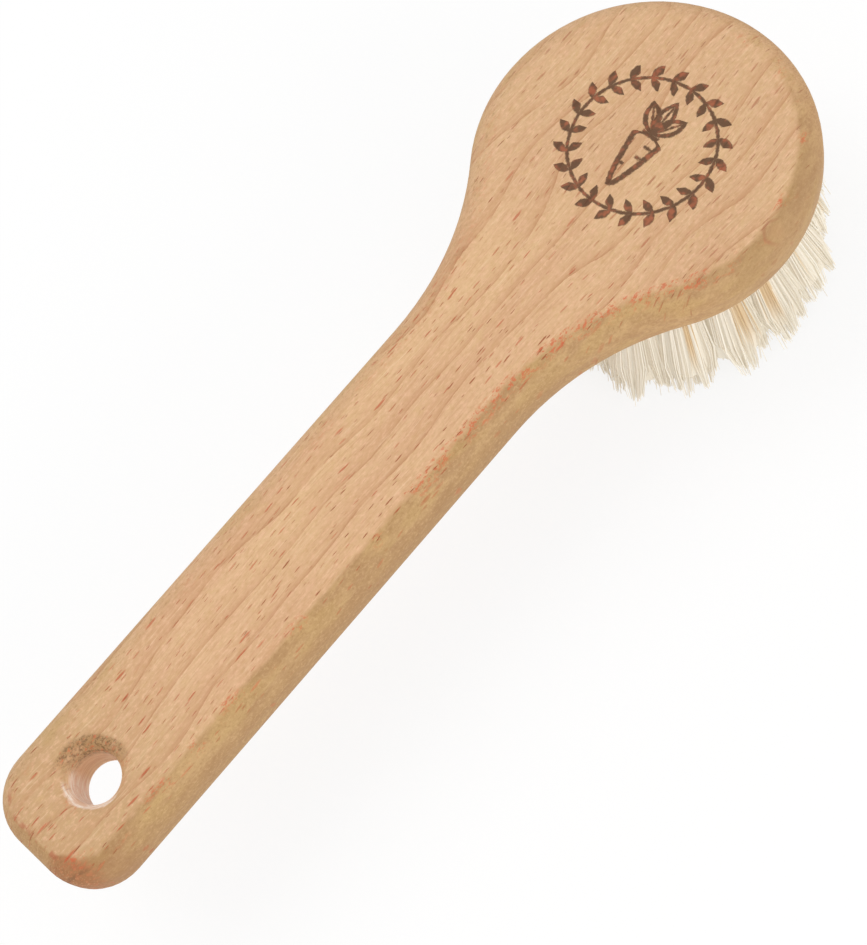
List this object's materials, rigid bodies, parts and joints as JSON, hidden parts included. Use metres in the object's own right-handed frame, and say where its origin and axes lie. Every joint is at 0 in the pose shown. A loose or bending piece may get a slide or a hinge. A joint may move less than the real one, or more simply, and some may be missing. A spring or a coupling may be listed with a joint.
{
  "type": "vegetable brush",
  "caption": "Flat wooden scrubbing brush with a round head of bristle tufts, a straight handle and a hanging hole at its tail.",
  "frame": {"origin": "centre of the round head, on the flat back face", "axes": "+X from the handle to the head along the board, +Z out of the back face, bristles along -Z"},
  "size_m": [0.1301, 0.0441, 0.0256],
  "materials": {
    "beech": "smooth sanded, unvarnished",
    "bristle": "natural bristle",
    "anchor_wire": "flat drawn wire"
  },
  "bodies": {
    "root": {"wooden_body": "beech", "tuft_anchors": "anchor_wire", "tuft_centre": "bristle", "tuft_inner_1": "bristle", "tuft_inner_2": "bristle", "tuft_inner_3": "bristle", "tuft_inner_4": "bristle", "tuft_inner_5": "bristle", "tuft_inner_6": "bristle", "tuft_middle_01": "bristle", "tuft_middle_02": "bristle", "tuft_middle_03": "bristle", "tuft_middle_04": "bristle", "tuft_middle_05": "bristle", "tuft_middle_06": "bristle", "tuft_middle_07": "bristle", "tuft_middle_08": "bristle", "tuft_middle_09": "bristle", "tuft_middle_10": "bristle", "tuft_middle_11": "bristle", "tuft_middle_12": "bristle", "tuft_outer_01": "bristle", "tuft_outer_02": "bristle", "tuft_outer_03": "bristle", "tuft_outer_04": "bristle", "tuft_outer_05": "bristle", "tuft_outer_06": "bristle", "tuft_outer_07": "bristle", "tuft_outer_08": "bristle", "tuft_outer_09": "bristle", "tuft_outer_10": "bristle", "tuft_outer_11": "bristle", "tuft_outer_12": "bristle", "tuft_outer_13": "bristle", "tuft_outer_14": "bristle", "tuft_outer_15": "bristle", "tuft_outer_16": "bristle", "tuft_outer_17": "bristle", "tuft_outer_18": "bristle"}
  },
  "joints": []
}
